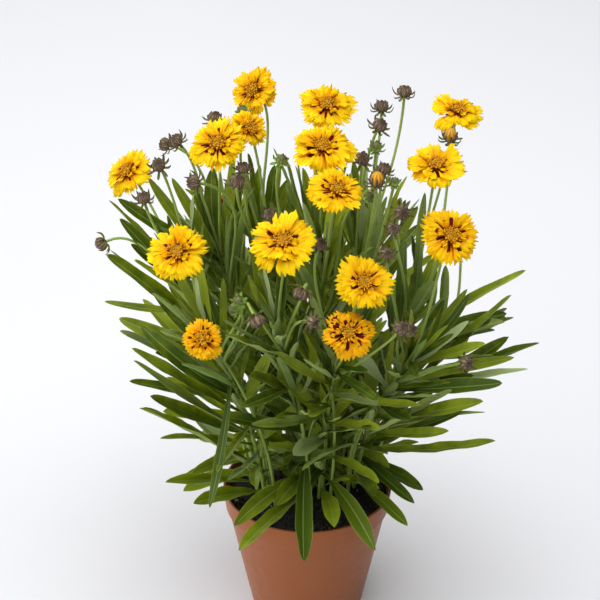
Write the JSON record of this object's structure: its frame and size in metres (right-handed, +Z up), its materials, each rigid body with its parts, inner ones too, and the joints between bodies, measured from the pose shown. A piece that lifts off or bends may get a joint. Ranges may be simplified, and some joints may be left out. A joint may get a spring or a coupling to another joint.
{
  "type": "potted coreopsis plant",
  "caption": "Bushy coreopsis with semi-double golden-yellow blooms, dry seed heads and lance-shaped leaves, growing from peat in a tapered terracotta-coloured nursery pot.",
  "frame": {"origin": "middle of the pot's underside, on the surface that the pot stands on", "axes": "+Z up along the pot's axis, -Y to the front of the plant, +X to its right as seen from the front"},
  "size_m": [0.3176, 0.2712, 0.4303],
  "materials": {
    "pot": "satin moulded polypropylene, terracotta colour",
    "soil": "loose dark peat",
    "foliage": "living leaf, soft sheen",
    "petals": "matt golden-yellow ray florets",
    "seed_heads": "dry papery scales",
    "opening_heads": "half-open bud, yellow over brown"
  },
  "bodies": {
    "root": {"pot": "pot", "soil": "soil", "leafy_stem_01": "foliage", "leafy_stem_02": "foliage", "leafy_stem_03": "foliage", "leafy_stem_04": "foliage", "leafy_stem_05": "foliage", "leafy_stem_06": "foliage", "leafy_stem_07": "foliage", "leafy_stem_08": "foliage", "leafy_stem_09": "foliage", "leafy_stem_10": "foliage", "leafy_stem_11": "foliage", "leafy_stem_12": "foliage", "leafy_stem_13": "foliage", "leafy_stem_14": "foliage", "bloom_01": "petals", "bloom_02": "petals", "bloom_03": "petals", "bloom_04": "petals", "bloom_05": "petals", "bloom_06": "petals", "bloom_07": "petals", "bloom_08": "petals", "bloom_09": "petals", "bloom_10": "petals", "bloom_11": "petals", "bloom_12": "petals", "bloom_13": "petals", "bloom_14": "petals", "bloom_15": "petals", "bloom_16": "petals", "bloom_17": "petals", "seed_head_01": "seed_heads", "seed_head_02": "seed_heads", "seed_head_03": "seed_heads", "seed_head_04": "seed_heads", "seed_head_05": "seed_heads", "seed_head_06": "seed_heads", "seed_head_07": "seed_heads", "seed_head_08": "seed_heads", "seed_head_09": "seed_heads", "seed_head_10": "seed_heads", "seed_head_11": "seed_heads", "seed_head_12": "seed_heads", "seed_head_13": "opening_heads", "seed_head_14": "seed_heads", "seed_head_15": "seed_heads", "seed_head_16": "seed_heads", "seed_head_17": "seed_heads", "seed_head_18": "opening_heads", "seed_head_19": "seed_heads", "seed_head_20": "seed_heads", "seed_head_21": "seed_heads", "seed_head_22": "seed_heads", "seed_head_23": "seed_heads", "seed_head_24": "seed_heads", "seed_head_25": "seed_heads", "seed_head_26": "seed_heads", "seed_head_27": "seed_heads"}
  },
  "joints": []
}
